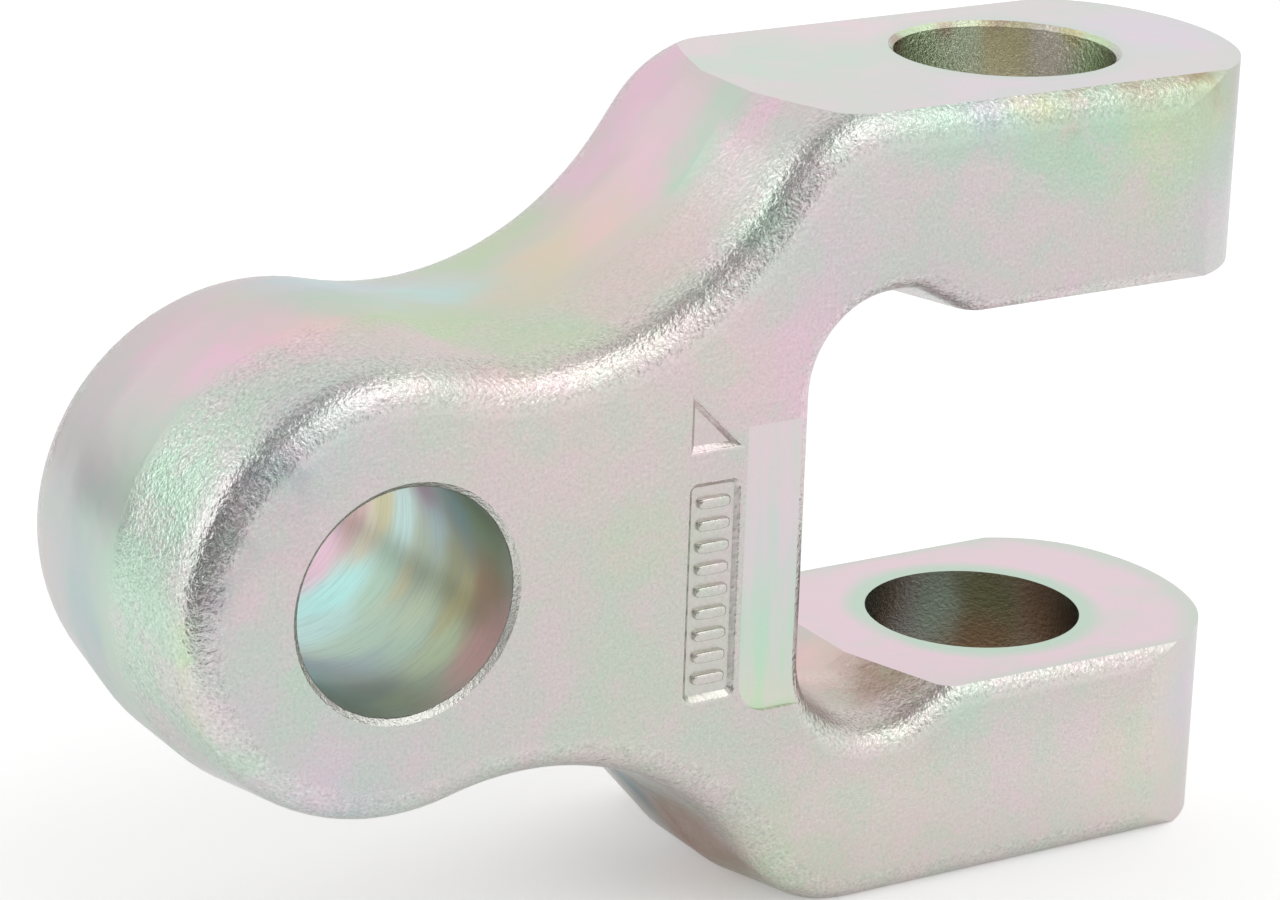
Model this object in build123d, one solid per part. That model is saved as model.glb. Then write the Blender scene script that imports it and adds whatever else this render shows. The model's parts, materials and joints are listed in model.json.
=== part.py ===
"""Tension rod clevis: a drop-forged eye and fork in one piece, millimetres.

The eye takes a pin along Y and the fork takes one along Z. The origin is the
centre of the eye's bore, +X runs towards the fork and +Z is up.
The dies close along Y, so every forged wall leans away from the parting plane y = 0.
"""
import os
from math import asin, cos, degrees, radians, sin, sqrt, tan

from build123d import *

# Working sizes: the pins, their spacing, and what fits between and beside them
eye_bore_diameter = 30.0
fork_bore_diameter = 30.0
centre_distance = 102.7
body_width = 49.0
fork_gap = 52.6
ear_thickness = 27.9

# Forged outline, as it is on the land at the parting plane
eye_radius = 31.7
waist_depth = 2.5
waist_radius = 39.0
shoulder_slope = 54.0
shoulder_radius = 20.0
ear_end_radius = 32.0
ear_corner_radius = 20.0

# Forging practice: trimmed land, draft, edge rounding and the stock that milling takes off
land_width = 12.0
draft_angle = 8.0
outer_edge_radius = 6.0
slot_edge_radius = 4.0
outer_stock = 2.9
inner_stock = 3.1

# Bottom of the slot: crotch, relief pockets, and the ramps up to the milled faces
crotch_to_bore = 41.5
crotch_radius = 10.0
pocket_relief = 1.7
ramp_slope = 28.0
ramp_to_bore = 25.2
pocket_blend_radius = 5.0

# Machined details
eye_chamfer = 0.8
fork_chamfer = 0.7
strip_depth = 0.4
strip_to_crotch = 12.7
strip_height = 39.5
strip_rise = -3.8
strip_corner_radius = 4.5

# Die marks sunk in the front face: a panel and a right triangle above it
die_mark_depth = 0.8
die_mark_wall_slope = 45.0
die_mark_rounding = 0.5
die_mark_to_bore = 61.9
panel_width = 6.3
panel_height = 28.4
panel_rise = -5.6
panel_corner_radius = 0.6
triangle_width = 5.2
triangle_height = 5.2
triangle_rise = 14.2

# Sizes that follow from those above
half_width = body_width / 2
inner_face = fork_gap / 2
outer_face = inner_face + ear_thickness
middle_of_ear = inner_face + ear_thickness / 2
forged_top = outer_face + outer_stock
crotch_x = centre_distance - crotch_to_bore
ear_tip = centre_distance + ear_end_radius
past_tip = ear_tip + half_width

# Largest share of a wall that the rounding at its end may take, and how near counts as touching
largest_share = 0.9
touching = 0.01


def polar(centre, radius, angle):
    """Point of a circle at an angle in degrees from the first axis."""
    return centre[0] + radius * cos(radians(angle)), centre[1] + radius * sin(radians(angle))


def outer_outline():
    """Side view of the forging without its slot: eye, waist, shoulders and ears."""
    spacing = eye_radius + waist_radius
    waist_centre_z = spacing - waist_depth
    waist_x = sqrt(spacing**2 - waist_centre_z**2)
    eye_end = (waist_x * eye_radius / spacing, waist_centre_z * eye_radius / spacing)
    slope_start = polar((waist_x, waist_centre_z), waist_radius, shoulder_slope - 90)
    slope_rise = forged_top - slope_start[1]
    slope_length = slope_rise / sin(radians(shoulder_slope))
    shoulder = (slope_start[0] + slope_rise / tan(radians(shoulder_slope)), forged_top)
    largest_radius = largest_share * slope_length / tan(radians(shoulder_slope / 2))
    with BuildSketch(Plane.XZ) as outline:
        with BuildLine():
            ThreePointArc((-eye_radius, 0), polar((0, 0), eye_radius, 120), eye_end)
            ThreePointArc(eye_end, (waist_x, waist_centre_z - waist_radius), slope_start)
            Polyline(slope_start, shoulder, (past_tip, forged_top), (past_tip, 0), (-eye_radius, 0))
        make_face()
        fillet(outline.vertices().sort_by_distance(shoulder)[0], min(shoulder_radius, largest_radius))
        mirror(about=Plane.XZ)
    return outline.sketch


def slot_outline():
    """Side view of the space between the ears, as the dies leave it at the land."""
    pocket_z = inner_face + pocket_relief
    forged_z = inner_face - inner_stock
    rise = tan(radians(ramp_slope))
    ramp_x = centre_distance - ramp_to_bore
    pocket_end = (ramp_x - pocket_relief / rise, pocket_z)
    forged_start = (ramp_x + inner_stock / rise, forged_z)
    crotch_corner = (crotch_x, pocket_z)
    blend_length = pocket_blend_radius * tan(radians(ramp_slope / 2))
    largest_radius = largest_share * (pocket_end[0] - crotch_x - blend_length)
    with BuildSketch(Plane.XZ) as outline:
        with BuildLine():
            Polyline(
                (crotch_x, 0),
                crotch_corner,
                pocket_end,
                forged_start,
                (past_tip + half_width, forged_z),
                (past_tip + half_width, 0),
                close=True,
            )
        make_face()
        fillet(outline.vertices().sort_by_distance(crotch_corner)[0], min(crotch_radius, largest_radius))
        for corner in (pocket_end, forged_start):
            fillet(outline.vertices().sort_by_distance(corner)[0], pocket_blend_radius)
        mirror(about=Plane.XZ)
    return outline.sketch


def die_form(outline, angle):
    """Outline carried straight across the land, with walls drafted from there to both side faces."""
    land_edge = Plane.XZ.offset(land_width / 2)
    front = extrude(Pos(land_edge.origin) * outline, half_width - land_width / 2)
    front = draft(front.faces().filter_by(Axis.Y, reverse=True), land_edge, angle)
    return extrude(outline, land_width / 2, both=True) + front + mirror(front, about=Plane.XZ)


def edges_at(shape, axis, position):
    """Edges whose middle lies in the plane at this position along an axis."""
    return shape.edges().filter_by_position(axis, position - touching, position + touching)


def forging():
    """The blank as forged: drafted body, slot, and the rounding that the dies give each edge."""
    blank = die_form(outer_outline(), draft_angle)
    for y in (-half_width, half_width):
        rim = edges_at(blank, Axis.Y, y).filter_by_position(Axis.X, -eye_radius, ear_tip)
        blank = fillet(rim, outer_edge_radius)
    blank -= die_form(slot_outline(), -draft_angle)
    for y in (-half_width, half_width):
        rim = edges_at(blank, Axis.Y, y).filter_by_position(Axis.X, crotch_x - outer_edge_radius, ear_tip)
        blank = fillet(rim.filter_by_position(Axis.Z, -middle_of_ear, middle_of_ear), slot_edge_radius)
    return blank


def plan_outline():
    """View from above: parallel sides, and ears rounded about the fork's bore."""
    corner_radius = min(ear_corner_radius, largest_share * half_width)
    corner_reach = ear_end_radius - corner_radius
    turn = degrees(asin((half_width - corner_radius) / corner_reach))
    corner = polar((centre_distance, 0), corner_reach, turn)
    side_end, half_way, round_end = (polar(corner, corner_radius, a) for a in (90, (90 + turn) / 2, turn))
    with BuildSketch() as outline:
        with BuildLine():
            ThreePointArc((ear_tip, 0), polar((centre_distance, 0), ear_end_radius, turn / 2), round_end)
            ThreePointArc(round_end, half_way, side_end)
            Polyline(side_end, (-past_tip, half_width), (-past_tip, 0), (ear_tip, 0))
        make_face()
        mirror(about=Plane.XZ)
    return outline.sketch


def milled(blank):
    """The blank with its ears trimmed round and milled to size, and its bores opened."""
    blank = blank & extrude(plan_outline(), outer_face, both=True)
    mill_start = crotch_x + crotch_radius
    blank -= Pos(mill_start, 0, 0) * Box(
        past_tip, 2 * body_width, fork_gap, align=(Align.MIN, Align.CENTER, Align.CENTER)
    )
    blank -= Rot(90, 0, 0) * Cylinder(eye_bore_diameter / 2, 2 * body_width)
    blank -= Pos(centre_distance, 0, 0) * Cylinder(fork_bore_diameter / 2, 4 * outer_face)
    return blank


def bore_rim(shape, diameter, axis, position):
    """Rim of a bore in the plane at this position along its axis."""
    circles = edges_at(shape, axis, position).filter_by(GeomType.CIRCLE)
    return circles.filter_by(lambda edge: abs(edge.radius - diameter / 2) < touching)


def sunk(floor, depth, wall_slope=0.0):
    """Tool that sinks a floor, drawn in front view, to a depth below the front face."""
    return extrude(Pos(0, -half_width + depth, 0) * floor, 2 * depth, taper=-wall_slope)


def crotch_strip():
    """Tool for the strip milled beside the crotch, round at its foot."""
    foot = (crotch_x - strip_to_crotch, strip_rise - strip_height / 2)
    with BuildSketch(Plane.XZ) as floor:
        with Locations(foot):
            Rectangle(strip_to_crotch + crotch_radius / 2, strip_height, align=(Align.MIN, Align.MIN))
        fillet(floor.vertices().sort_by_distance(foot)[0], strip_corner_radius)
    return sunk(floor.sketch, strip_depth)


def die_marks():
    """Tool for the sunk panel, left plain, and for the right triangle above it."""
    left = centre_distance - die_mark_to_bore
    with BuildSketch(Plane.XZ) as floors:
        with Locations((left + panel_width / 2, panel_rise)):
            RectangleRounded(panel_width, panel_height, panel_corner_radius)
        with BuildLine():
            Polyline(
                (left, triangle_rise),
                (left + triangle_width, triangle_rise),
                (left, triangle_rise + triangle_height),
                close=True,
            )
        make_face()
    return sunk(floors.sketch, die_mark_depth, die_mark_wall_slope)


body = milled(forging())
for side in (-1, 1):
    body = chamfer(bore_rim(body, eye_bore_diameter, Axis.Y, side * half_width), eye_chamfer)
    body = chamfer(bore_rim(body, fork_bore_diameter, Axis.Z, side * outer_face), fork_chamfer)
body = body - crotch_strip() - die_marks()
die_mark_mouths = edges_at(body, Axis.Y, -half_width).filter_by_position(
    Axis.X, centre_distance - die_mark_to_bore - 2 * die_mark_depth, crotch_x - strip_to_crotch - touching
)
body = fillet(die_mark_mouths, die_mark_rounding)

os.makedirs("parts", exist_ok=True)
export_step(body, "parts/clevis_body.step")
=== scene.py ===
"""Finish, light and view of a drop-forged tension rod clevis, laid out as a Blender add-on.

Lengths are in metres in the model's frame. Patterns in the materials are in millimetres.
"""

import json
import math
from typing import NamedTuple

import bmesh
import bpy
import numpy as np
from bpy.props import FloatProperty, FloatVectorProperty, IntProperty, PointerProperty
from mathutils import Matrix, Vector


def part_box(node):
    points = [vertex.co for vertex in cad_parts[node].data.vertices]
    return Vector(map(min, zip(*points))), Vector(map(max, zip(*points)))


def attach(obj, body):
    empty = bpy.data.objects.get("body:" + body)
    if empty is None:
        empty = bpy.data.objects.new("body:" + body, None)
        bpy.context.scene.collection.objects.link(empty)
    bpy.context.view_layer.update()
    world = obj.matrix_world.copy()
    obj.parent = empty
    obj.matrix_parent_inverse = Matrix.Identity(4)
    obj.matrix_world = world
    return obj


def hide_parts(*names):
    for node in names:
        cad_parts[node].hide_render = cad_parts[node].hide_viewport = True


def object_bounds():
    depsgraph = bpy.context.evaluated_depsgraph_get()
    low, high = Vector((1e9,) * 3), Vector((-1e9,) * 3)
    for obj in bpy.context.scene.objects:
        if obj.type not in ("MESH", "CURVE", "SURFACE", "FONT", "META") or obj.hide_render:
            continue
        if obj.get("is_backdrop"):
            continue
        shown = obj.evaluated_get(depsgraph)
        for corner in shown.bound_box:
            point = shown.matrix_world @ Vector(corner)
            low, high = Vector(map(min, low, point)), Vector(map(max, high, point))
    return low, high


bl_info = {
    "name": "Tension rod clevis",
    "version": (1, 0, 0),
    "blender": (4, 5, 0),
    "location": "3D View > Sidebar > Clevis",
    "description": "Zinc-plated finish, die marks and studio for a forged clevis",
    "category": "Object",
}

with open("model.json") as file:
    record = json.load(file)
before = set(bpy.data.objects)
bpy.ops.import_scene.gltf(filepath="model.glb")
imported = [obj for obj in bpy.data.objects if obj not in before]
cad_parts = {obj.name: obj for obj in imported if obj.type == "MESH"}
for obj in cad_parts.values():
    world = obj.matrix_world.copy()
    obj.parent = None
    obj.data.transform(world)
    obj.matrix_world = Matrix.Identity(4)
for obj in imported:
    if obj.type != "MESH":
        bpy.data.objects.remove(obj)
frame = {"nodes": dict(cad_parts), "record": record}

CLEVIS = "clevis_body"
MM = 0.001


def mount(name):
    """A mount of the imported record, by name."""
    return next(m for m in frame["record"]["mounts"] if m["name"] == name)


LOW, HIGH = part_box(CLEVIS)
EYE_BORE = mount("eye_bore")["dims"]["r_mm"] * MM
FORK_BORE = mount("fork_bore")["dims"]["r_mm"] * MM
FORK_X = mount("fork_bore")["pos_m"][0]

# Where the passivation film shows a colour, and where a tint is painted shade or painted reflection
# instead, as marked: x, y, z in millimetres, the tint, its share, its reach
SKIN_FILM_AND_SHADE = (
    (55, 16, 50, "pink", 1.1, 7),
    (49, 14, 42, "pink", 0.9, 6),
    (57, -10, 53, "pink", 0.9, 3),
    (55, -5, 51, "green", 0.6, 3),
    (51, -6, 47, "green", 0.9, 3),
    (52, -21, 44, "green", 0.7, 3),
    (47, 2, 42, "pink", 0.9, 5),
    (42, 2, 37, "orange", 1.1, 5),
    (36, 3, 33, "cream", 1.3, 6),
    (28, -2, 30, "cream", 0.9, 6),
    (32, 17, 30, "lime", 1.0, 6),
    (40, -13, 34, "orange", 0.6, 6),
    (24, -14, 28, "lime", 0.8, 7),
    (8, -14, 29, "orange", 0.5, 4),
    (11, -6, 30, "lime", 1.2, 6),
    (6, 2, 31, "green", 0.7, 5),
    (7, 12, 30, "blue", 1.1, 6),
    (18, 5, 29, "cyan", 0.5, 6),
    (14, -21, 27, "orange", 0.8, 3),
    (-6, -7, 31, "orange", 1.1, 5),
    (-13, -6, 29, "pink", 1.5, 6),
    (-8, 10, 30, "cream", 0.4, 5),
    (-15, 10, 27, "pink", 0.9, 7),
    (-24, 12, 19, "lilac", 0.3, 6),
    (-31, 9, 2, "steel", 0.4, 6),
    (-20, -9, 25, "green", 0.7, 5),
    (-25, -12, 17, "green", 1.0, 7),
    (-31, -11, 3, "green", 0.9, 9),
    (-31, -4, -8, "green", 0.5, 7),
    (-29, -21, -2, "lime", 1.2, 3),
    (-27, -21, -12, "lime", 1.1, 3),
    (-26, -24, 0, "blue", 0.5, 3),
    (-22, -24, -10, "lilac", 0.5, 4),
    (-21, -24, 13, "pink", 0.5, 5),
    (-17, -24, 6, "pink", 0.5, 5),
    (-14, -24, 23, "blue", 0.4, 5),
    (-17, -24, -9, "green", 0.5, 4),
    (-12, -24, -22, "lilac", 0.6, 5),
    (22, -24, 17, "orange", 0.3, 10),
    (33, -24, 4, "lime", 0.5, 4),
    (34, -24, -17, "lime", 0.3, 6),
    (47, -24, 25, "orange", 0.5, 5),
    (57, -24, 22, "pink", 1.0, 7),
    (60, -24, 33, "lilac", 0.3, 8),
    # Painted shade under the lower shoulder: slate and brown darken its underside
    (47, -2, -42, "slate", 1.4, 6),
    (51, -7, -46, "brown", 1.2, 6),
    (56, -13, -51, "brown", 0.9, 6),
    # Painted reflection: slate darkens the dark band along the eye's front rounding
    (-18, -23, 20, "slate", 1.3, 3),
    (-23, -24, 13, "slate", 0.8, 3),
    (-26, -24, 6, "slate", 0.7, 2),
    (-31, 2, -4, "steel", 0.8, 7),
    (-25, -18, -17, "green", 0.7, 5),
    (-9, -22, -27, "steel", 0.6, 4),
    (77, -22, 29, "steel", 0.5, 4),
    (82, -23, 53, "steel", 0.8, 4),
    (124, -21, 36, "lilac", 0.7, 6),
    (124, -21, -36, "lilac", 0.7, 6),
    (55, -21, -46, "lime", 0.6, 4),
    (77, -24, 49, "green", 0.7, 5),
    (89, -24, 50, "green", 0.9, 5),
    (101, -24, 49, "green", 1.1, 6),
    (110, -24, 46, "lime", 1.1, 6),
    (119, -24, 49, "lime", 1.0, 5),
    (123, -22, 42, "green", 0.5, 6),
    # Partly film colour, partly painted shade: gold and brown dim the highlight along the upper ear's top
    # front edge
    (91, -23, 53, "gold", 0.9, 3),
    (98, -23, 53, "brown", 0.8, 3),
    (108, -23, 53, "brown", 0.8, 3),
    (117, -23, 53, "brown", 1.2, 3),
    (80, -24, 37, "pink", 0.2, 9),
    (100, -24, 34, "pink", 0.3, 8),
    (75, -24, -40, "cream", 0.3, 9),
    (98, -24, -38, "orange", 0.15, 12),
    (86, -24, -29, "green", 0.5, 4),
    (115, -24, -40, "cream", 0.5, 8),
    (71, -4, -28, "orange", 1.1, 6),
    (80, -13, -27, "brown", 0.9, 6),
)
FACE_FILM = (
    (72, 6, 54, "green", 0.5, 9),
    (60, 17, 54, "pink", 0.5, 5),
    (88, 20, 54, "pink", 0.6, 6),
    (92, -17, 54, "lilac", 0.5, 9),
    (124, 0, 54, "lilac", 0.9, 9),
    (100, 0, -26, "pink", 0.9, 22),
    (54, -24, 13, "pink", 0.4, 6),
    (50, -24, 0, "blue", 0.3, 5),
    (58, -24, -2, "lilac", 0.5, 5),
    (53, -24, -15, "green", 1.3, 7),
    (53, -24, -22, "lime", 1.3, 6),
)
# Partly film colour, partly painted reflection and shade: the tints follow how the bores are lit
BORE_FILM_AND_PAINTED_LIGHT = (
    (11, 20, -11, "pink", 1.0, 5),
    (14, 17, -5, "rose", 0.9, 4),
    (14, 13, -6, "cream", 1.0, 4),
    (15, 11, 0, "gold", 0.8, 4),
    (9, 12, -12, "cyan", 0.9, 6),
    (12, 5, -9, "green", 0.9, 5),
    (15, 4, 0, "cyan", 0.5, 4),
    (14, -3, 6, "violet", 1.0, 4),
    (14, -12, 7, "slate", 0.9, 6),
    (15, -5, 1, "steel", 1.0, 5),
    (14, -17, 6, "olive", 0.9, 5),
    (14, -2, -5, "moss", 0.7, 6),
    (13, 1, -8, "gold", 0.7, 4),
    (15, -9, -3, "olive", 0.9, 6),
    (13, -12, -6, "gold", 1.0, 5),
    (15, -17, -2, "brown", 1.0, 6),
    (12, -6, -9, "lime", 0.8, 5),
    (9, -8, -12, "green", 0.8, 6),
    (10, -15, -11, "lime", 1.0, 5),
    (12, -21, -9, "rose", 1.2, 5),
    (3, 7, -15, "cyan", 0.6, 6),
    (6, -1, -14, "green", 0.8, 6),
    (2, -7, -15, "steel", 0.9, 6),
    (-4, -5, -15, "steel", 1.1, 6),
    (-2, -15, -15, "slate", 0.9, 6),
    (5, -18, -14, "moss", 0.7, 5),
    (-12, 0, 9, "steel", 0.9, 9),
    (99, 15, 51, "lime", 1.2, 5),
    (106, 15, 51, "lime", 0.9, 3),
    (111, 12, 51, "gold", 1.0, 4),
    (116, 8, 51, "cream", 0.6, 3),
    (118, 0, 51, "lime", 1.3, 4),
    (93, 12, 54, "brown", 0.8, 2),
    (103, 15, 54, "brown", 0.9, 2),
    (112, 13, 54, "brown", 0.9, 2),
    (118, 5, 54, "gold", 1.0, 2),
    (99, 15, -31, "blue", 0.2, 6),
    (107, 14, -31, "green", 0.8, 4),
    (113, 11, -31, "olive", 1.2, 5),
    (117, 3, -31, "brown", 1.2, 5),
    (112, 11, -36, "brown", 1.3, 5),
)
# How much a step along each axis counts between two places of the film: most from one side to the other
FILM_STEPS = (1, 1.6, 1)
# Size in millimetres of the waves in the borders between the film's tints
FILM_WAVES = 9

# Runs from one part of the surface to the next, as start and end in millimetres
EYE_TO_NECK = (-10, 4)
NECK_TO_FORK = (50, 60)
ROUNDED_TIP = (114, 119)
LAND_TO_WALL = (16, 19)
WALL_TO_SIDE_FACE = (24.2, 24.45)
BORE_TO_CHAMFER = (23.6, 23.8)
STRIP_ENDS = (22, 24)
# The same for the sunk panel, counted from its middle
PANEL_MIDDLE = 44
PANEL_SIDES = (4.5, 5.5)
PANEL_ENDS = (20, 22)

# Tones laid over the film: a painted glint, painted shade for the grain's hollows and the bare chamfer;
# and white
GLINT = (0.92, 0.92, 0.90)
PIT_SHADE = (0.30, 0.31, 0.30)
BARE_CHAMFER = (0.74, 0.75, 0.70)
WHITE = (1, 1, 1)

# Part of a normal along an axis: more than the first on a face square to the axis, less than the second
# on the wall or chamfer of a bore along it, and less than the third on a drafted wall
SQUARE_ON = 0.999
BORE_LEAN = 0.8
WALL_LEAN = 0.2
# How far from a bore's radius its chamfer's triangles lie
EYE_CHAMFER = 0.9 * MM
FORK_CHAMFER = 0.8 * MM
# Degrees by which normals may differ at a seam inside a smooth surface
SEAM_ANGLE = 7

# Block of which a rib is made, larger than the rib because the rounding shrinks it
RIB_BLOCK = (1.15, 1.3, 1.15)
RIB_ROUNDS = 3
RIB_CREASE = 0.35

# The floor's shade, and the light that it adds where it is seen directly or in the metal
FLOOR_SHADE = (0.88, 0.88, 0.88)
FLOOR_GLOW = 0.26


def length(name, description, default):
    """A size property in metres."""
    return FloatProperty(
        name=name, description=description, default=default, min=0, unit="LENGTH", precision=5
    )


def colour(name, description, default):
    """A colour property."""
    return FloatVectorProperty(
        name=name, description=description, default=default, size=3, min=0, max=1, subtype="COLOR"
    )


def number(name, description, default):
    """A plain factor."""
    return FloatProperty(name=name, description=description, default=default, min=0)


def angle(name, description, degrees):
    """An angle, given in degrees."""
    radians = math.radians(degrees)
    return FloatProperty(name=name, description=description, default=radians, subtype="ANGLE")


class ClevisSizes(bpy.types.PropertyGroup):
    """Where the clevis was milled and where its forged skin was left."""

    eye_bore: length("Eye bore", "Radius of the eye's bore", EYE_BORE)
    fork_bore: length("Fork bore", "Radius of the fork's bore", FORK_BORE)
    fork_x: length("Fork bore place", "Distance of the fork's bore from the eye's bore", FORK_X)
    half_width: length("Half width", "From the middle plane to a side face", HIGH.y)
    outer_face: length("Outer face", "From the middle plane to an ear's outer face", HIGH.z)
    inner_face: length("Inner face", "From the middle plane to an ear's inner face", 0.0263)
    land: length("Land", "Half width of the trimmed land at the parting plane", 0.006)
    strip_depth: length("Strip depth", "Depth of the strip milled beside the crotch", 0.0004)
    ear_round: length("Ear end", "Radius of an ear's end about the fork's bore", HIGH.x - FORK_X)


class ClevisFinish(bpy.types.PropertyGroup):
    """Colours and grain of the zinc plating and of the passivation film on it."""

    zinc: colour("Zinc", "Plated steel where the film shows no colour", (0.63, 0.61, 0.585))
    green: colour("Green", "Film, green", (0.47, 0.68, 0.53))
    lime: colour("Lime", "Film, yellow-green", (0.56, 0.68, 0.46))
    cream: colour("Cream", "Film, cream", (0.70, 0.64, 0.50))
    orange: colour("Orange", "Film, between orange and pink", (0.80, 0.60, 0.57))
    pink: colour("Pink", "Film, pink", (0.80, 0.56, 0.66))
    lilac: colour("Lilac", "Film, lilac", (0.66, 0.58, 0.68))
    blue: colour("Blue", "Film, pale blue", (0.53, 0.63, 0.66))
    cyan: colour("Cyan", "Thick film, cyan", (0.48, 0.88, 0.84))
    steel: colour("Steel", "Thick film, grey-blue", (0.40, 0.53, 0.55))
    slate: colour("Slate", "Thick film, slate blue", (0.26, 0.33, 0.35))
    violet: colour("Violet", "Thick film, violet", (0.36, 0.29, 0.36))
    moss: colour("Moss", "Thick film, moss green", (0.34, 0.46, 0.30))
    olive: colour("Olive", "Thick film, olive", (0.32, 0.34, 0.19))
    gold: colour("Gold", "Thick film, yellow", (0.58, 0.54, 0.28))
    rose: colour("Rose", "Thick film, rose", (0.66, 0.44, 0.42))
    brown: colour("Brown", "Thick film, brown", (0.40, 0.27, 0.18))
    grain: number("Grain", "Size of the forged skin's grain in millimetres", 0.48)
    grain_depth: number("Grain depth", "Depth of the forged skin's grain in millimetres", 0.13)


class ClevisMarks(bpy.types.PropertyGroup):
    """Plain raised ribs in the sunk panel."""

    count: IntProperty(name="Count", description="Number of ribs", default=9, min=1)
    left: length("Left", "Left end of a rib, from the eye's middle", 0.0419)
    top: length("Top", "Middle of the uppermost rib, above the eye's middle", 0.0064)
    pitch: length("Pitch", "From one rib to the next, downwards", 0.003)
    width: length("Width", "Length of a rib along the clevis", 0.0042)
    tall: length("Height", "Height of a rib", 0.0013)
    rise: length("Rise", "How far a rib stands out of the panel's floor", 0.0006)
    floor_depth: length("Floor", "Depth of the panel's floor below the side face", 0.0008)


class ClevisStudio(bpy.types.PropertyGroup):
    """Camera and light."""

    azimuth: angle("Azimuth", "Turn of the camera to the left of the front", 31.548)
    elevation: angle("Elevation", "Height of the camera above the horizon", 18.911)
    roll: angle("Roll", "Turn of the picture about its middle", 1.9)
    distance: length("Distance", "From the camera to the eye's middle, along the view", 0.574967)
    across: length("Across", "Shift of the camera to its right", 0.040833)
    above: length("Above", "Shift of the camera upwards", 0.011797)
    lens: number("Lens", "Focal length in millimetres on a 36 mm sensor", 127.566)
    surround: number("Surround", "Brightness of the studio's walls", 1.05)
    key: number("Key", "Brightness of the soft box in front, to the right", 1.9)
    side: number("Side light", "Brightness of the soft box behind, to the left", 1.8)
    floor_size: length("Floor size", "Width of the floor", 0.9)
    floor_front: length("Floor front", "From the middle plane to the floor's front edge", 0.062)


class Value:
    """A number in a node tree, that Python's arithmetic works on."""

    def __init__(self, tree, socket):
        self.tree = tree
        self.socket = socket

    def math(self, operation, *others):
        """Math node of this value and others."""
        return self.tree.add("ShaderNodeMath", {"operation": operation}, [self, *others]).value(0)

    def __add__(self, other):
        return self.math("ADD", other)

    __radd__ = __add__

    def __sub__(self, other):
        return self.math("SUBTRACT", other)

    def __rsub__(self, other):
        return self.math("MULTIPLY_ADD", -1.0, other)

    def __mul__(self, other):
        return self.math("MULTIPLY", other)

    __rmul__ = __mul__

    def __truediv__(self, other):
        return self.math("DIVIDE", other)

    def __rtruediv__(self, other):
        return self.math("POWER", -1.0) * other

    def __neg__(self):
        return self.math("MULTIPLY", -1.0)

    def __abs__(self):
        return self.math("ABSOLUTE")

    def __pow__(self, exponent):
        return self.math("POWER", exponent)

    def step(self, start, end):
        """0 at start and 1 at end, with a smooth run between them."""
        settings = {"interpolation_type": "SMOOTHSTEP"}
        inputs = {"Value": self, "From Min": start, "From Max": end}
        return self.tree.add("ShaderNodeMapRange", settings, inputs).value("Result")

    def most(self, other):
        """The larger of two values."""
        return self.math("MAXIMUM", other)


class Node:
    """A node in a tree, with its outputs by name or number."""

    def __init__(self, tree, node):
        self.tree = tree
        self.node = node

    def value(self, output):
        """An output as a number."""
        return Value(self.tree, self.node.outputs[output])

    def link(self, output=0):
        """An output as a socket to link from."""
        return self.node.outputs[output]


class Tree:
    """A node tree, and the one way in which nodes are added to it."""

    def __init__(self, owner):
        owner.use_nodes = True
        self.nodes = owner.node_tree.nodes
        self.links = owner.node_tree.links
        self.nodes.clear()

    def add(self, kind, settings=None, inputs=None):
        """Node of a kind. Settings are set first, then the values or links of its sockets."""
        node = self.nodes.new(kind)
        for name, setting in (settings or {}).items():
            setattr(node, name, setting)
        pairs = enumerate(inputs) if isinstance(inputs, list) else (inputs or {}).items()
        for key, source in pairs:
            self.feed(node.inputs[key], source)
        return Node(self, node)

    def feed(self, socket, source):
        """Links a source to a socket, or sets the socket to a number or a colour."""
        if isinstance(source, Value):
            self.links.new(source.socket, socket)
        elif isinstance(source, bpy.types.NodeSocket):
            self.links.new(source, socket)
        elif isinstance(source, (int, float)):
            socket.default_value = source
        else:
            source = tuple(source)
            room = len(socket.default_value)
            socket.default_value = source + (1.0,) * (room - len(source))

    def mix(self, factor, first, second):
        """Colour between two colours, as a socket."""
        node = self.add("ShaderNodeMix", {"data_type": "RGBA", "clamp_factor": True}).node
        for key, source in (("Factor_Float", factor), ("A_Color", first), ("B_Color", second)):
            self.feed(next(s for s in node.inputs if s.identifier == key), source)
        return next(s for s in node.outputs if s.identifier == "Result_Color")

    def vector(self, operation, first, second):
        """Vector that Vector Math makes of two vectors, as a socket."""
        return self.add("ShaderNodeVectorMath", {"operation": operation}, [first, second]).link()

    def measure(self, operation, first, second):
        """Number that Vector Math makes of two vectors."""
        node = self.add("ShaderNodeVectorMath", {"operation": operation}, [first, second])
        return node.value("Value")

    def scaled(self, vector, factor):
        """Vector times a number, as a socket."""
        inputs = {"Vector": vector, "Scale": factor}
        return self.add("ShaderNodeVectorMath", {"operation": "SCALE"}, inputs).link()

    def position(self):
        """Place in the clevis's frame in millimetres, as a vector socket."""
        return self.scaled(self.add("ShaderNodeTexCoord").link("Object"), 1 / MM)

    def split(self, vector):
        """The three parts of a vector as numbers."""
        node = self.add("ShaderNodeSeparateXYZ", inputs=[vector])
        return [node.value(i) for i in range(3)]

    def noise(self, place, size, detail=2.0, roughness=0.5):
        """Noise from 0 to 1 whose features are about a size in millimetres."""
        inputs = {"Vector": place, "Scale": 1 / size, "Detail": detail, "Roughness": roughness}
        return self.add("ShaderNodeTexNoise", inputs=inputs).value("Fac")


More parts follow.
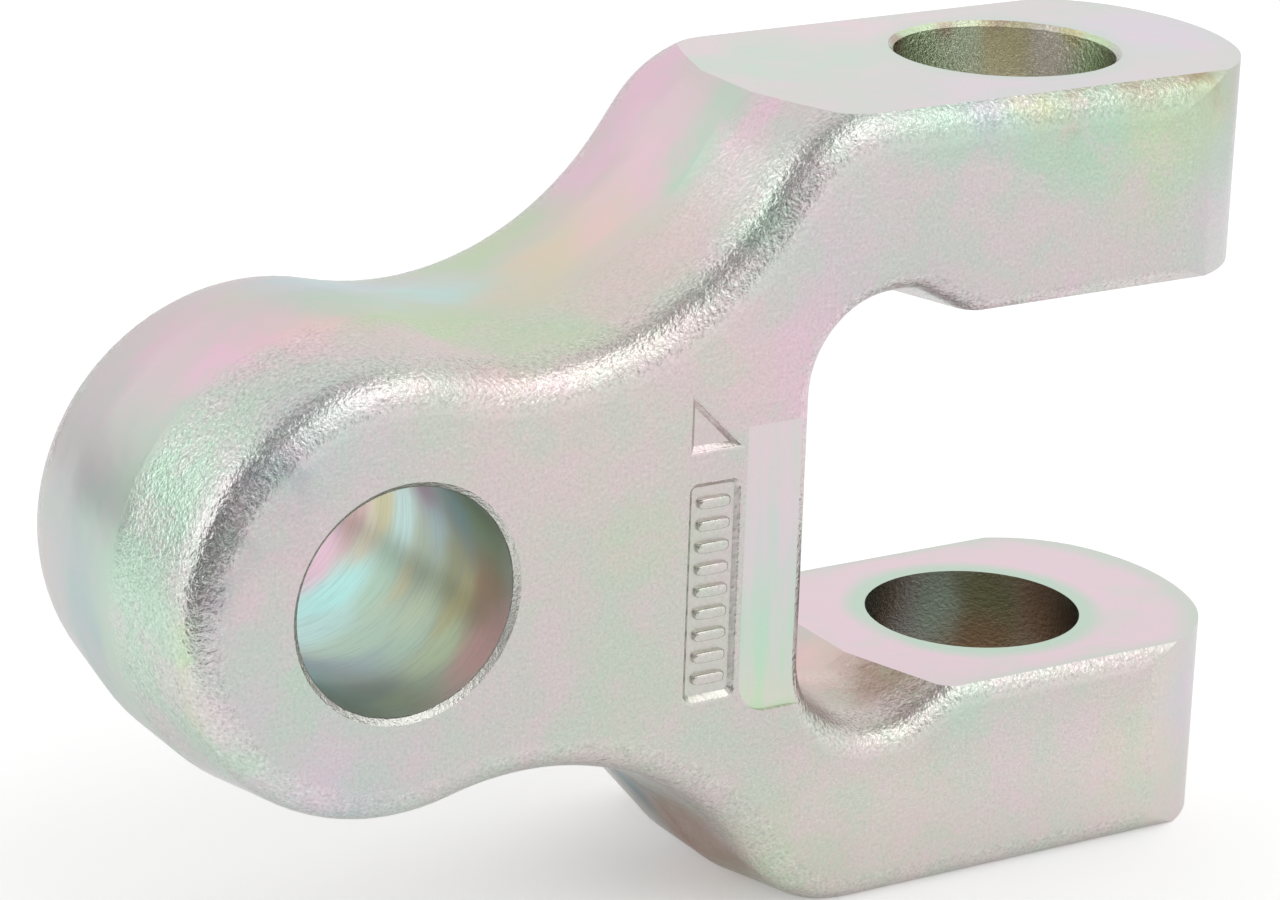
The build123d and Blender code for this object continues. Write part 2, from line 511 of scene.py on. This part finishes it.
def film(tree, place, finish, places, plain=0.05, drift=14, power=2):
    """Colour of the plating, with the painted shade and reflection that some places carry: tints at places
    in millimetres, blended by how near each one is.

    Plain is the weight of zinc without a tint, drift is how far the tints' borders wander in millimetres,
    and with more power a tint stays closer to its place.
    """
    inputs = {"Vector": place, "Scale": 1 / FILM_WAVES, "Detail": 3.0}
    wander = tree.add("ShaderNodeTexNoise", inputs=inputs).link("Color")
    wander = tree.scaled(tree.vector("SUBTRACT", wander, (0.5, 0.5, 0.5)), drift)
    here = tree.vector("MULTIPLY", tree.vector("ADD", place, wander), FILM_STEPS)
    zinc = Vector(finish.zinc)
    total = plain
    blend = zinc * plain
    for x, y, z, tint, share, reach in places:
        middle = Vector((x, y, z)) * Vector(FILM_STEPS)
        tone = zinc.lerp(Vector(getattr(finish, tint)), share)
        away = tree.measure("DISTANCE", here, middle) / reach
        weight = (away * away + 1) ** -power
        total = weight + total
        blend = tree.vector("ADD", blend, tree.scaled(tone, weight))
    return tree.scaled(blend, 1 / total)


def metal(tree, base, roughness, normal, edge=0.95):
    """Metal surface, linked to the material's output. Edge is the brightness of grazing reflections."""
    inputs = {
        "Base Color": base,
        "Metallic": 1.0,
        "Roughness": roughness,
        "Specular Tint": (edge, edge, edge),
        "Normal": normal,
    }
    surface = tree.add("ShaderNodeBsdfPrincipled", inputs=inputs)
    tree.add("ShaderNodeOutputMaterial", inputs=[surface.link()])


def bump(tree, height, depth, normal=None):
    """Normal of a surface with a height from 0 to 1 that is a depth in millimetres."""
    inputs = {"Strength": 1.0, "Distance": depth * MM, "Height": height}
    if normal is not None:
        inputs["Normal"] = normal
    return tree.add("ShaderNodeBump", inputs=inputs).link("Normal")


def new_material(name):
    """Empty material and its tree."""
    material = bpy.data.materials.new(name)
    return material, Tree(material)


def forged_skin(sizes, finish):
    """Forged and blasted skin, grainy with painted glints and painted shade in its hollows, and smooth on
    the land where the flash was trimmed.
    """
    material, tree = new_material("forged_zinc_skin")
    place = tree.position()
    x, y, z = tree.split(place)
    land = sizes.land / MM
    edge = (tree.noise(place, 3.5, detail=3.0, roughness=0.6) - 0.5) * 5
    front = (edge - y).step(land - 1, land + 3)
    back = (edge + y).step(3.0 * land, 3.4 * land)
    wall = (1 - abs(y).step(*LAND_TO_WALL)) * (x + edge).step(*EYE_TO_NECK)
    side_face = abs(y).step(*WALL_TO_SIDE_FACE)
    tip = x.step(*ROUNDED_TIP)
    on_panel = (1 - abs(x - PANEL_MIDDLE).step(*PANEL_SIDES)) * (1 - abs(z).step(*PANEL_ENDS))
    sunk = on_panel * (1 - side_face)
    calm = (1 - 0.6 * wall) * (1 - 0.5 * tip) * (1 - 0.7 * sunk)
    grainy = front.most(back) * calm
    coarse = 1.9 - 1.05 * side_face.most(tip)
    base = film(tree, place, finish, SKIN_FILM_AND_SHADE)
    drift = tree.noise(place, 8, detail=3.0, roughness=0.6)
    speck = tree.noise(place, 0.9, roughness=0.6)
    wash = speck * 0.2 + drift * 0.8
    mottle = 0.12 + 0.14 * grainy
    base = tree.mix(wash.step(0.49, 0.62) * mottle, base, finish.green)
    base = tree.mix((1 - wash).step(0.49, 0.62) * mottle, base, finish.pink)
    crests = abs(tree.noise(place, finish.grain * 2.6) - 0.5) * 2
    grains = tree.noise(place, finish.grain, detail=3.0, roughness=0.7)
    height = (crests * 0.6 + grains * 0.4) * grainy * coarse
    swell = bump(tree, tree.noise(place, 5), 0.12)
    skin = bump(tree, height, finish.grain_depth, swell)
    # Painted highlight and shade: white glints on the grain's raised spots, a dark tone in its low spots
    glint = grains.step(0.53, 0.63) * grainy
    pit_shade = (1 - grains).step(0.53, 0.63) * grainy
    base = tree.mix(glint * 0.18 * coarse, base, GLINT)
    base = tree.mix(pit_shade * 0.20 * coarse, base, PIT_SHADE)
    metal(tree, base, 0.34 - 0.22 * grainy, skin, edge=0.85)
    return material


def milled_face(sizes, finish):
    """Milled face with an even film, greener round its bore and along its edge."""
    material, tree = new_material("milled_zinc_face")
    place = tree.position()
    x, y, z = tree.split(place)
    base = film(tree, place, finish, FACE_FILM)
    on_strip = 1 - abs(z).step(*STRIP_ENDS)
    streak = tree.noise(tree.vector("MULTIPLY", place, (1, 1, 0.15)), 2.5)
    cloud = tree.noise(place, 9)
    wash = cloud + (streak - cloud) * on_strip
    strength = 0.2 + 0.15 * on_strip
    base = tree.mix(wash.step(0.5, 0.64) * strength, base, finish.green)
    base = tree.mix((1 - wash).step(0.5, 0.64) * strength, base, finish.pink)
    base = tree.mix(0.08 + 0.10 * on_strip, base, WHITE)
    half_width = sizes.half_width / MM
    ear_round = sizes.ear_round / MM
    bore = sizes.fork_bore / MM
    along = x - sizes.fork_x / MM
    radius = (along * along + y * y) ** 0.5
    rim = 1 - radius.step(bore + 1.0, bore + 4.5)
    side_edge = abs(y).step(half_width - 4, half_width - 0.5)
    tip_edge = radius.step(ear_round - 5, ear_round - 0.5)
    on_ear = along.step(-20, -14)
    inner = 1 - abs(z).step(30, 40)
    greener = rim.most(side_edge.most(tip_edge) * 0.6) * on_ear * (0.3 + 0.5 * inner)
    base = tree.mix(greener, base, finish.green)
    wear = tree.noise(place, 0.7, roughness=0.6)
    metal(tree, base, 0.27, bump(tree, wear, 0.012))
    return material


def bore_wall(sizes, finish):
    """Bored wall with thick film in strong colours, partly painted reflection and shade, lighter in the
    fork as painted light, and the marks of the boring tool.
    """
    material, tree = new_material("bored_zinc_wall")
    place = tree.position()
    x, y, z = tree.split(place)
    base = film(tree, place, finish, BORE_FILM_AND_PAINTED_LIGHT, plain=0.01, drift=5, power=3)
    fork = x.step(*NECK_TO_FORK)
    eye = 1 - fork
    upper = z.step(0, 1)
    grains = tree.noise(place, 0.6, detail=3.0, roughness=0.65)
    turned = tree.vector("MULTIPLY", place, (0.15, 2.5, 0.15))
    rings = tree.noise(turned, 0.9, detail=3.0, roughness=0.6)
    chamfer = abs(y).step(*BORE_TO_CHAMFER) * eye
    height = rings * 0.06 * eye + grains * (0.4 + 0.8 * upper) * fork + grains * chamfer
    base = tree.mix(rings.step(0.46, 0.66) * 0.25 * eye, base, finish.slate)
    base = tree.mix(0.85 * chamfer, base, BARE_CHAMFER)
    # Painted light: the fork's bores are lifted towards white
    base = tree.mix(0.1 * fork, base, WHITE)
    metal(tree, base, 0.34 - 0.12 * fork, bump(tree, height, 0.2))
    return material


def near(values, target, reach):
    """Whether values lie within a reach of a target."""
    return np.abs(values - target) < reach


def face_kinds(points, triangles, normals, sizes):
    """For each triangle: 0 forged, 1 milled, 2 bored."""
    middle = points[triangles].mean(1)
    facing = normals.mean(1)
    x, y, z = middle.T
    along_y, along_z = np.abs(facing[:, 1]), np.abs(facing[:, 2])
    reach = 0.05 * MM
    ear_plane = near(np.abs(z), sizes.outer_face, reach) | near(np.abs(z), sizes.inner_face, reach)
    ear = ear_plane & (along_z > SQUARE_ON)
    strip = near(y, sizes.strip_depth - sizes.half_width, reach) & (facing[:, 1] < -SQUARE_ON)
    eye = near(np.hypot(x, z), sizes.eye_bore, EYE_CHAMFER) & (along_y < BORE_LEAN)
    from_fork = np.hypot(x - sizes.fork_x, y)
    fork = near(from_fork, sizes.fork_bore, FORK_CHAMFER) & (along_z < BORE_LEAN)
    kinds = np.zeros(len(triangles), int)
    kinds[ear | strip] = 1
    kinds[eye | fork] = 2
    return kinds


def merged_surface(node):
    """Points, triangles and corner normals of a CAD node, with its loose triangles joined."""
    mesh = node.data.copy()
    normals = np.zeros(len(mesh.loops) * 3, np.float32)
    mesh.corner_normals.foreach_get("vector", normals)
    mesh.attributes.new("corner_normal", "FLOAT_VECTOR", "CORNER").data.foreach_set("vector", normals)
    work = bmesh.new()
    work.from_mesh(mesh)
    bmesh.ops.remove_doubles(work, verts=work.verts, dist=MM / 1000)
    work.to_mesh(mesh)
    work.free()
    points = np.zeros(len(mesh.vertices) * 3)
    mesh.vertices.foreach_get("co", points)
    triangles = np.zeros(len(mesh.loops), np.int64)
    mesh.loops.foreach_get("vertex_index", triangles)
    normals = np.zeros(len(mesh.loops) * 3)
    mesh.attributes["corner_normal"].data.foreach_get("vector", normals)
    bpy.data.meshes.remove(mesh)
    points, triangles, normals = points.reshape(-1, 3), triangles.reshape(-1, 3), normals.reshape(-1, 3, 3)
    return points, triangles, normals / np.linalg.norm(normals, axis=-1, keepdims=True)


def weld_seams(triangles, normals, limit):
    """Corner normals averaged with those at the same point that differ by less than a limit in degrees."""
    order = np.argsort(triangles.ravel(), kind="stable")
    first = np.flatnonzero(np.diff(triangles.ravel()[order])) + 1
    flat = normals.reshape(-1, 3)
    welded = np.empty_like(flat)
    for corners in np.split(order, first):
        alike = flat[corners] @ flat[corners].T > math.cos(math.radians(limit))
        welded[corners] = alike @ flat[corners]
    return (welded / np.linalg.norm(welded, axis=-1, keepdims=True)).reshape(normals.shape)


def soften_crease(points, triangles, normals, land):
    """Corner normals with the crease behind the land rounded off, as the trimming leaves it."""
    y = points[triangles][:, :, 1]
    wall = (y.mean(1) > land)[:, None] & (np.abs(normals[:, :, 1]) < WALL_LEAN)
    behind = near(y, land, 0.01 * MM) & wall
    normals = normals.copy()
    normals[behind, 1] = 0
    return normals / np.linalg.norm(normals, axis=-1, keepdims=True)


def mesh_piece(name, points, triangles):
    """Object at the origin with these points and triangles."""
    mesh = bpy.data.meshes.new(name)
    mesh.from_pydata(points.tolist(), [], triangles.tolist())
    piece = bpy.data.objects.new(name, mesh)
    bpy.context.scene.collection.objects.link(piece)
    return piece


class CLEVIS_OT_body(bpy.types.Operator):
    """Make the plated forging with its forged, milled and bored surfaces"""

    bl_idname = "clevis.body"
    bl_label = "Forged body"

    def execute(self, context):
        sizes, finish = context.scene.clevis_sizes, context.scene.clevis_finish
        points, triangles, normals = merged_surface(frame["nodes"][CLEVIS])
        body = mesh_piece("forged_clevis", points, triangles)
        for make in (forged_skin, milled_face, bore_wall):
            body.data.materials.append(make(sizes, finish))
        body.data.polygons.foreach_set("material_index", face_kinds(points, triangles, normals, sizes))
        body.data.polygons.foreach_set("use_smooth", [True] * len(triangles))
        soft = weld_seams(triangles, normals, SEAM_ANGLE)
        soft = soften_crease(points, triangles, soft, sizes.land)
        body.data.normals_split_custom_set(soft.reshape(-1, 3).tolist())
        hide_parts(CLEVIS)
        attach(body, "root")
        return {"FINISHED"}


def rib_tree():
    """Geometry nodes: rounded ribs in a row, one below the other."""
    group = bpy.data.node_groups.new("rib_row", "GeometryNodeTree")
    socket = group.interface.new_socket
    socket("Geometry", in_out="OUTPUT", socket_type="NodeSocketGeometry")
    for name, kind in (
        ("Count", "NodeSocketInt"),
        ("Start", "NodeSocketVector"),
        ("Step", "NodeSocketVector"),
        ("Size", "NodeSocketVector"),
        ("Material", "NodeSocketMaterial"),
    ):
        socket(name, in_out="INPUT", socket_type=kind)
    nodes, links = group.nodes, group.links
    given = nodes.new("NodeGroupInput").outputs
    row = nodes.new("GeometryNodeMeshLine")
    rib = nodes.new("GeometryNodeMeshCube")
    round_off = nodes.new("GeometryNodeSubdivisionSurface")
    placed = nodes.new("GeometryNodeInstanceOnPoints")
    real = nodes.new("GeometryNodeRealizeInstances")
    coat = nodes.new("GeometryNodeSetMaterial")
    smooth = nodes.new("GeometryNodeSetShadeSmooth")
    rib.inputs["Size"].default_value = RIB_BLOCK
    round_off.inputs["Level"].default_value = RIB_ROUNDS
    round_off.inputs["Edge Crease"].default_value = RIB_CREASE
    for source, target in (
        (given["Count"], row.inputs["Count"]),
        (given["Start"], row.inputs["Start Location"]),
        (given["Step"], row.inputs["Offset"]),
        (rib.outputs["Mesh"], round_off.inputs["Mesh"]),
        (row.outputs["Mesh"], placed.inputs["Points"]),
        (round_off.outputs["Mesh"], placed.inputs["Instance"]),
        (given["Size"], placed.inputs["Scale"]),
        (placed.outputs["Instances"], real.inputs["Geometry"]),
        (real.outputs["Geometry"], smooth.inputs["Geometry"]),
        (smooth.outputs["Geometry"], coat.inputs["Geometry"]),
        (given["Material"], coat.inputs["Material"]),
        (coat.outputs["Geometry"], nodes.new("NodeGroupOutput").inputs["Geometry"]),
    ):
        links.new(source, target)
    return group


class CLEVIS_OT_ribs(bpy.types.Operator):
    """Make the plain raised ribs in the sunk panel"""

    bl_idname = "clevis.ribs"
    bl_label = "Panel ribs"

    def execute(self, context):
        sizes, marks = context.scene.clevis_sizes, context.scene.clevis_marks
        floor_y = marks.floor_depth - sizes.half_width
        settings = {
            "Count": marks.count,
            "Start": (marks.left + marks.width / 2, floor_y, marks.top),
            "Step": (0, 0, -marks.pitch),
            "Size": (marks.width, 2 * marks.rise, marks.tall),
            "Material": bpy.data.materials["forged_zinc_skin"],
        }
        maker = bpy.data.objects.new("maker", bpy.data.meshes.new("maker"))
        context.scene.collection.objects.link(maker)
        modifier = maker.modifiers.new("ribs", "NODES")
        modifier.node_group = rib_tree()
        for item in modifier.node_group.interface.items_tree:
            if item.item_type == "SOCKET" and item.in_out == "INPUT":
                modifier[item.identifier] = settings[item.name]
        graph = context.evaluated_depsgraph_get()
        mesh = bpy.data.meshes.new_from_object(maker.evaluated_get(graph), depsgraph=graph)
        bpy.data.objects.remove(maker)
        ribs = bpy.data.objects.new("panel_ribs", mesh)
        context.scene.collection.objects.link(ribs)
        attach(ribs, "root")
        return {"FINISHED"}


class Patch(NamedTuple):
    """Elliptical patch of the studio's walls. Angles are in degrees."""

    turn: float
    rise: float
    width: float
    height: float
    brightness: float
    softness: float

    def middle(self):
        """Direction of its middle: turned from the front to the right, and raised from the horizon."""
        turn, rise = math.radians(self.turn), math.radians(self.rise)
        flat = math.cos(rise)
        return Vector((math.sin(turn) * flat, -math.cos(turn) * flat, math.sin(rise)))


def soft_patch(tree, level, direction, patch):
    """Brightness of the walls with one soft patch of light or shade laid over it."""
    middle = patch.middle()
    aside = Vector((-middle.y, middle.x, 0)).normalized()
    upward = middle.cross(aside)
    across = tree.measure("DOT_PRODUCT", direction, aside) / math.sin(math.radians(patch.width))
    along = tree.measure("DOT_PRODUCT", direction, upward) / math.sin(math.radians(patch.height))
    ahead = tree.measure("DOT_PRODUCT", direction, middle)
    inside = 1 - (across * across + along * along) ** 0.5
    change = (patch.brightness - level) * inside.step(-patch.softness, patch.softness)
    return level + change * ahead.step(0, 0.1)


def studio_light(studio):
    """World: pale walls, dimmer overhead and low down, with soft boxes and shaded patches on them."""
    world = bpy.data.worlds.new("studio")
    bpy.context.scene.world = world
    tree = Tree(world)
    direction = tree.add("ShaderNodeTexCoord").link("Generated")
    y, z = tree.split(direction)[1:]
    overhead = z.step(0.55, 0.98) * y.step(-0.6, 0.2)
    low = (-z).step(0.05, 0.3)
    beneath = (-z).step(0.6, 0.95)
    level = studio.surround - 0.18 * overhead - 0.12 * low - 0.15 * beneath
    for patch in (
        Patch(178, 58, 45, 20, 0.95, 0.5),
        Patch(150, 38, 25, 20, 0.97, 0.6),
        Patch(-175, 14, 20, 9, 0.9, 0.6),
        Patch(-140, -2, 24, 13, 0.52, 0.7),
        Patch(-120, 86, 20, 20, 0.55, 0.6),
        Patch(-65, 60, 32, 16, 0.42, 0.5),
        Patch(-70, 11, 21, 38, 0.22, 0.3),
        Patch(-25, 8, 25, 14, 0.24, 0.35),
        Patch(27, 57, 21, 19, studio.key, 0.3),
        Patch(-107, 24, 17, 28, studio.side, 0.25),
    ):
        level = soft_patch(tree, level, direction, patch)
    seen = tree.add("ShaderNodeLightPath").value("Is Camera Ray")
    strength = level + (1 - level) * seen
    background = tree.add("ShaderNodeBackground", inputs={"Color": WHITE, "Strength": strength})
    tree.add("ShaderNodeOutputWorld", inputs=[background.link()])


def floor_material():
    """Pale floor that shows as white to the camera and in the metal, and keeps shadows."""
    material, tree = new_material("studio_floor")
    path = tree.add("ShaderNodeLightPath")
    direct = path.value("Is Camera Ray").most(path.value("Is Glossy Ray"))
    direct = direct.most(path.value("Is Transmission Ray"))
    pale = tree.add("ShaderNodeBsdfDiffuse", inputs={"Color": FLOOR_SHADE})
    glow = tree.add("ShaderNodeEmission", inputs={"Color": WHITE, "Strength": direct * FLOOR_GLOW})
    both = tree.add("ShaderNodeAddShader", inputs=[pale.link(), glow.link()])
    tree.add("ShaderNodeOutputMaterial", inputs=[both.link()])
    return material


def studio_floor(size, front, height):
    """Floor at a height, from a little way in front of the clevis backwards."""
    reach = size / 2
    corners = ((-reach, -front), (reach, -front), (reach, size), (-reach, size))
    mesh = bpy.data.meshes.new("studio_floor")
    mesh.from_pydata([(x, y, height) for x, y in corners], [], [(0, 1, 2, 3)])
    mesh.materials.append(floor_material())
    floor = bpy.data.objects.new("studio_floor", mesh)
    bpy.context.scene.collection.objects.link(floor)
    floor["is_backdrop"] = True


def studio_camera(studio):
    """Camera at the photograph's angle."""
    turn, rise, roll = studio.azimuth, studio.elevation, studio.roll
    flat = math.cos(rise)
    back = Vector((-math.sin(turn) * flat, -math.cos(turn) * flat, math.sin(rise)))
    level = Vector((math.cos(turn), -math.sin(turn), 0))
    upright = back.cross(level)
    right = math.cos(roll) * level + math.sin(roll) * upright
    up = -math.sin(roll) * level + math.cos(roll) * upright
    data = bpy.data.cameras.new("camera")
    data.sensor_width = 36
    data.lens = studio.lens
    camera = bpy.data.objects.new("camera", data)
    bpy.context.scene.collection.objects.link(camera)
    place = studio.distance * back + studio.across * right + studio.above * up
    camera.matrix_world = Matrix.Translation(place) @ Matrix((right, up, back)).transposed().to_4x4()
    bpy.context.scene.camera = camera


class CLEVIS_OT_studio(bpy.types.Operator):
    """Set up the pale floor, the soft light and the camera"""

    bl_idname = "clevis.studio"
    bl_label = "Studio"

    def execute(self, context):
        studio = context.scene.clevis_studio
        studio_floor(studio.floor_size, studio.floor_front, LOW.z)
        studio_light(studio)
        studio_camera(studio)
        context.scene.view_settings.view_transform = "Standard"
        return {"FINISHED"}


class CLEVIS_PT_panel(bpy.types.Panel):
    """The steps that make the clevis"""

    bl_label = "Tension rod clevis"
    bl_space_type = "VIEW_3D"
    bl_region_type = "UI"
    bl_category = "Clevis"

    def draw(self, context):
        for operator in OPERATORS:
            self.layout.operator(operator.bl_idname)


OPERATORS = (CLEVIS_OT_body, CLEVIS_OT_ribs, CLEVIS_OT_studio)
SETTINGS = {
    "clevis_sizes": ClevisSizes,
    "clevis_finish": ClevisFinish,
    "clevis_marks": ClevisMarks,
    "clevis_studio": ClevisStudio,
}


def register():
    """Adds the clevis's settings, steps and panel to Blender."""
    for group in (*SETTINGS.values(), *OPERATORS, CLEVIS_PT_panel):
        bpy.utils.register_class(group)
    for name, group in SETTINGS.items():
        setattr(bpy.types.Scene, name, PointerProperty(type=group))


def unregister():
    """Takes the clevis's settings, steps and panel out of Blender."""
    for name in SETTINGS:
        delattr(bpy.types.Scene, name)
    for group in (CLEVIS_PT_panel, *reversed(OPERATORS), *reversed(SETTINGS.values())):
        bpy.utils.unregister_class(group)


def box_now():
    """The whole object's box as plain lists."""
    bpy.context.view_layer.update()
    return [list(corner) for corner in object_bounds()]


def main():
    """Makes the clevis and its studio."""
    register()
    sizes = {"cad": box_now()}
    bpy.ops.clevis.body()
    bpy.ops.clevis.ribs()
    bpy.ops.clevis.studio()
    sizes["visual"] = box_now()


if __name__ == "__main__":
    main()
